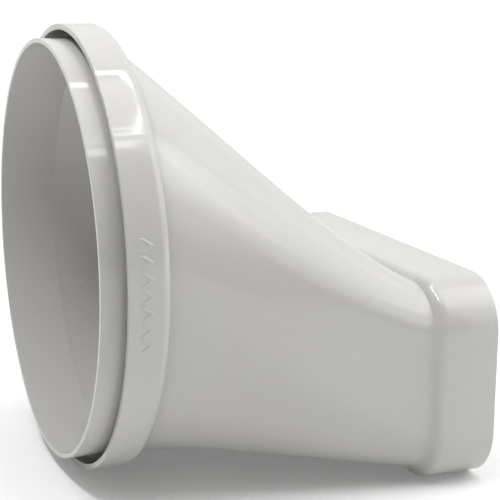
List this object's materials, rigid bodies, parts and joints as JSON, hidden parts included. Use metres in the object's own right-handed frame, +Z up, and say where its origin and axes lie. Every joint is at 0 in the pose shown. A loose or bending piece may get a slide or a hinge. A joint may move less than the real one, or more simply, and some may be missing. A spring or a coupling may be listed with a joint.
{
  "type": "duct adapter",
  "caption": "Glossy white plastic duct adapter with a slanted hood that joins a round spigot and collar to a flat rectangular socket.",
  "frame": {"origin": "on the resting plane, under the centre of the bounding box", "axes": "+X runs along the duct axis from the round mouth to the rectangular mouth, +Y across the flat duct's width, +Z up"},
  "size_m": [0.142, 0.16, 0.16],
  "materials": {
    "sleeve_plastic": "glossy moulded white ABS",
    "collar_plastic": "glossy moulded white ABS",
    "hood_plastic": "semi-gloss moulded white ABS",
    "socket_plastic": "glossy moulded white ABS"
  },
  "bodies": {
    "root": {"spigot_sleeve": "sleeve_plastic", "round_collar": "collar_plastic", "transition_hood": "hood_plastic", "rectangular_socket": "socket_plastic"}
  },
  "joints": []
}
